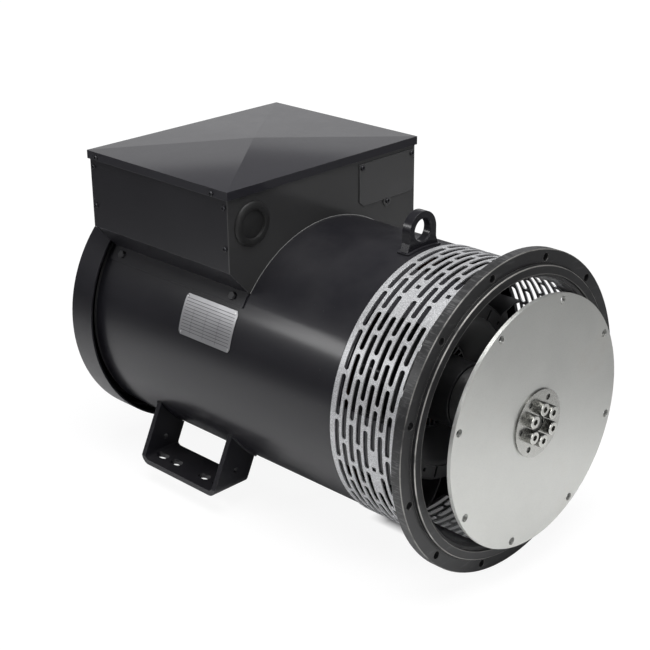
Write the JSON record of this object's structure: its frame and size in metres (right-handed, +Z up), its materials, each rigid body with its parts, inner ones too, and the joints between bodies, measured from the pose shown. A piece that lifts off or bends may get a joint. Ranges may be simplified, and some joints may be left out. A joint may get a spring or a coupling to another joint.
{
  "type": "generator alternator head",
  "caption": "Single-bearing generator alternator head with slotted air screen, engine flange, flexible coupling discs, terminal box, lifting eye and mounting feet.",
  "frame": {"origin": "centre of the engine flange's mounting face, on the shaft axis", "axes": "+X along the shaft towards the engine, +Z up, so the feet point to -Z and the terminal box to +Z"},
  "size_m": [0.7631, 0.4507, 0.5108],
  "materials": {
    "frame_paint": "semi-gloss charcoal paint",
    "flange_paint": "satin dark grey paint over machined iron",
    "screen_zinc": "passivated zinc with fine speckle",
    "screw_zinc": "zinc-plated",
    "screw_black": "blackened steel",
    "cover_paint": "semi-gloss charcoal paint",
    "rubber": "matt black",
    "board_plastic": "moulded thermoset",
    "brass": "bright brass",
    "regulator_resin": "potting resin",
    "plate_aluminium": "thin satin aluminium",
    "cast_iron": "as-cast grey iron, painted",
    "bearing_steel": "ground bearing steel",
    "laminations": "varnished electrical steel",
    "varnished_copper": "enamelled wire under varnish",
    "shaft_steel": "turned steel",
    "disc_steel": "satin rolled steel",
    "clamp_steel": "turned steel",
    "fan_plastic": "moulded black plastic"
  },
  "bodies": {
    "frame_body": {"frame_shell": "frame_paint", "adaptor_ring": "flange_paint", "air_screen": "screen_zinc", "lifting_eye": "frame_paint", "foot_far": "frame_paint", "foot_near": "frame_paint", "box_front_panel": "frame_paint", "box_rear_panel": "frame_paint", "box_side_far": "frame_paint", "box_side_near": "frame_paint", "box_skirt_far": "frame_paint", "box_skirt_near": "frame_paint", "box_lid": "frame_paint", "lid_screws": "screw_zinc", "panel_screws": "screw_zinc", "skirt_screws": "screw_black", "regulator_cover": "cover_paint", "cover_screws": "screw_zinc", "cable_grommet": "rubber", "terminal_board": "board_plastic", "terminal_studs": "brass", "voltage_regulator": "regulator_resin", "rating_plate": "plate_aluminium", "rear_cap": "frame_paint", "cap_bolts": "screw_zinc", "end_shield": "cast_iron", "shield_bolts": "screw_zinc", "bearing_outer_ring": "bearing_steel", "stator_core": "laminations", "winding_front": "varnished_copper", "winding_rear": "varnished_copper", "exciter_stator": "laminations"},
    "rotor": {"shaft": "shaft_steel", "rotor_core": "laminations", "field_coils": "varnished_copper", "coupling_discs": "disc_steel", "clamp_ring": "clamp_steel", "coupling_screws": "screw_zinc", "fan": "fan_plastic", "exciter_rotor": "laminations", "diode_bridge": "plate_aluminium", "bearing_inner_ring": "bearing_steel"},
    "ball_set": {"bearing_balls": "bearing_steel", "bearing_cage": "brass"}
  },
  "joints": [
    {"name": "rotor_spin", "type": "hinge", "parent": "frame_body", "child": "rotor", "pos_m": [0, 0, 0], "axis": [1, 0, 0], "continuous": true},
    {"name": "ball_spin", "type": "hinge", "parent": "frame_body", "child": "ball_set", "pos_m": [-0.6275, 0, 0], "axis": [1, 0, 0], "continuous": true}
  ],
  "couplings": [
    {"joint": "ball_spin", "follows": "rotor_spin", "ratio": 0.3806}
  ]
}
